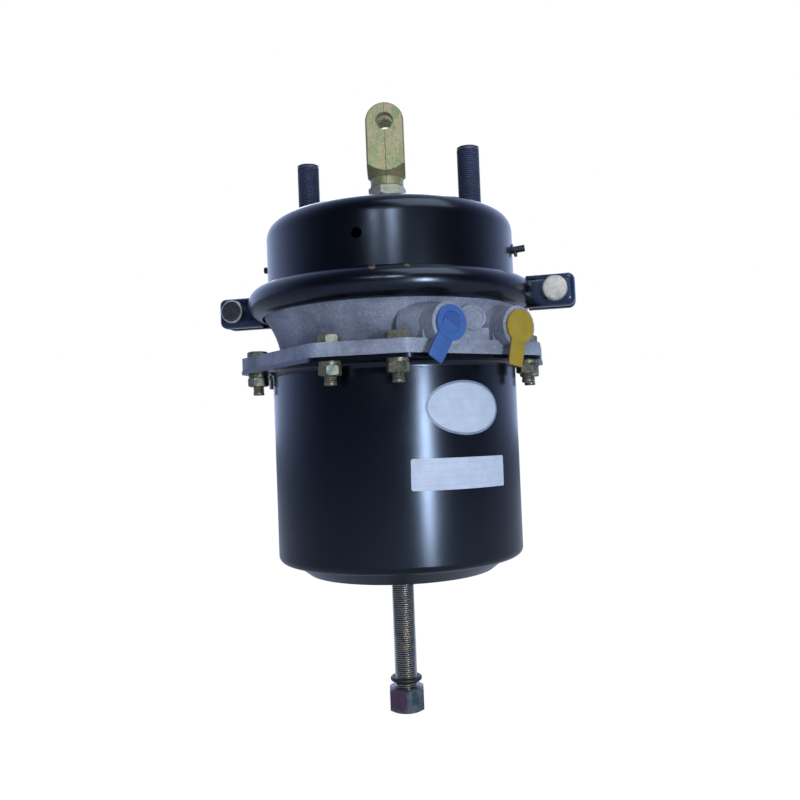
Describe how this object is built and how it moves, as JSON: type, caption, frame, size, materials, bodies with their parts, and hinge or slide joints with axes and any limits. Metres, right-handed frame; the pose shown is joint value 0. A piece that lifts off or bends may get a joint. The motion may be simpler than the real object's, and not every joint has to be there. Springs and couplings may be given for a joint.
{
  "type": "air brake chamber",
  "caption": "Combination spring brake chamber: a clamped diaphragm housing with push rod and clevis over a cast body, air ports and a spring cylinder with release bolt",
  "frame": {"origin": "Centre of the flat mounting face of the service housing, between the two studs", "axes": "+Z out of the mounting face along the push rod, +X from stud to stud, -Y the front"},
  "size_m": [0.262, 0.214, 0.4352],
  "materials": {
    "black_enamel": "semi-gloss black enamel",
    "black_stud": "black phosphate",
    "cast_aluminium": "as cast, blasted",
    "yellow_zinc": "yellow chromate zinc",
    "bare_steel": "machined",
    "spring_steel": "black coated",
    "rubber_black": "moulded",
    "black_plastic": "moulded",
    "white_plastic": "moulded",
    "blue_plastic": "moulded",
    "yellow_plastic": "moulded"
  },
  "bodies": {
    "chamber": {"mounting_studs": "black_stud", "service_housing": "black_enamel", "vent_plug": "black_plastic", "breathers": "black_plastic", "dust_guard": "rubber_black", "diaphragm": "rubber_black", "clamp_front": "black_enamel", "clamp_rear": "black_enamel", "clamp_bolts": "yellow_zinc", "clamp_nuts": "yellow_zinc", "centre_body": "cast_aluminium", "flange_seal": "rubber_black", "tube_seals": "rubber_black", "tube_bush": "white_plastic", "flange_bolts": "yellow_zinc", "spring_washers": "yellow_zinc", "flange_nuts": "yellow_zinc", "spring_cylinder": "black_enamel", "threaded_insert": "bare_steel", "return_spring": "spring_steel", "power_spring": "spring_steel"},
    "push_rod_assembly": {"push_plate": "bare_steel", "push_rod": "bare_steel", "clevis": "yellow_zinc", "lock_nut": "yellow_zinc"},
    "spring_piston": {"brake_piston": "cast_aluminium", "piston_seal": "rubber_black", "piston_guide": "white_plastic", "piston_tube": "bare_steel", "tube_cap": "black_plastic"},
    "bolt_carrier": {"thrust_washer": "bare_steel"},
    "bolt": {"release_bolt": "yellow_zinc", "release_hex": "yellow_zinc", "release_o_ring": "rubber_black"},
    "blue_cap": {"port_cap_blue": "blue_plastic"},
    "yellow_cap": {"port_cap_yellow": "yellow_plastic"}
  },
  "joints": [
    {"name": "push_rod_slide", "type": "slide", "parent": "chamber", "child": "push_rod_assembly", "axis": [0, 0, 1], "range_m": [0, 0.064], "stiffness_N_per_m": 1500, "springref_m": -0.02, "deforming": ["return_spring", "diaphragm"]},
    {"name": "brake_piston_slide", "type": "slide", "parent": "chamber", "child": "spring_piston", "axis": [0, 0, 1], "range_m": [-0.002, 0], "stiffness_N_per_m": 20000, "springref_m": 0.004, "deforming": ["power_spring"]},
    {"name": "release_advance", "type": "slide", "parent": "chamber", "child": "bolt_carrier", "axis": [0, 0, 1], "range_m": [0, 0.075]},
    {"name": "release_turn", "type": "hinge", "parent": "bolt_carrier", "child": "bolt", "pos_m": [0, 0, -0.334], "axis": [0, 0, 1], "range_deg": [0, 18001]},
    {"name": "port_cap_blue_pull", "type": "slide", "parent": "chamber", "child": "blue_cap", "axis": [0.7325, -0.6807, 0], "range_m": [0, 0.08]},
    {"name": "port_cap_yellow_pull", "type": "slide", "parent": "chamber", "child": "yellow_cap", "axis": [0.7325, -0.6807, 0], "range_m": [0, 0.08]}
  ],
  "couplings": [
    {"joint": "release_turn", "follows": "release_advance", "rad_per_m": 4188.8}
  ]
}
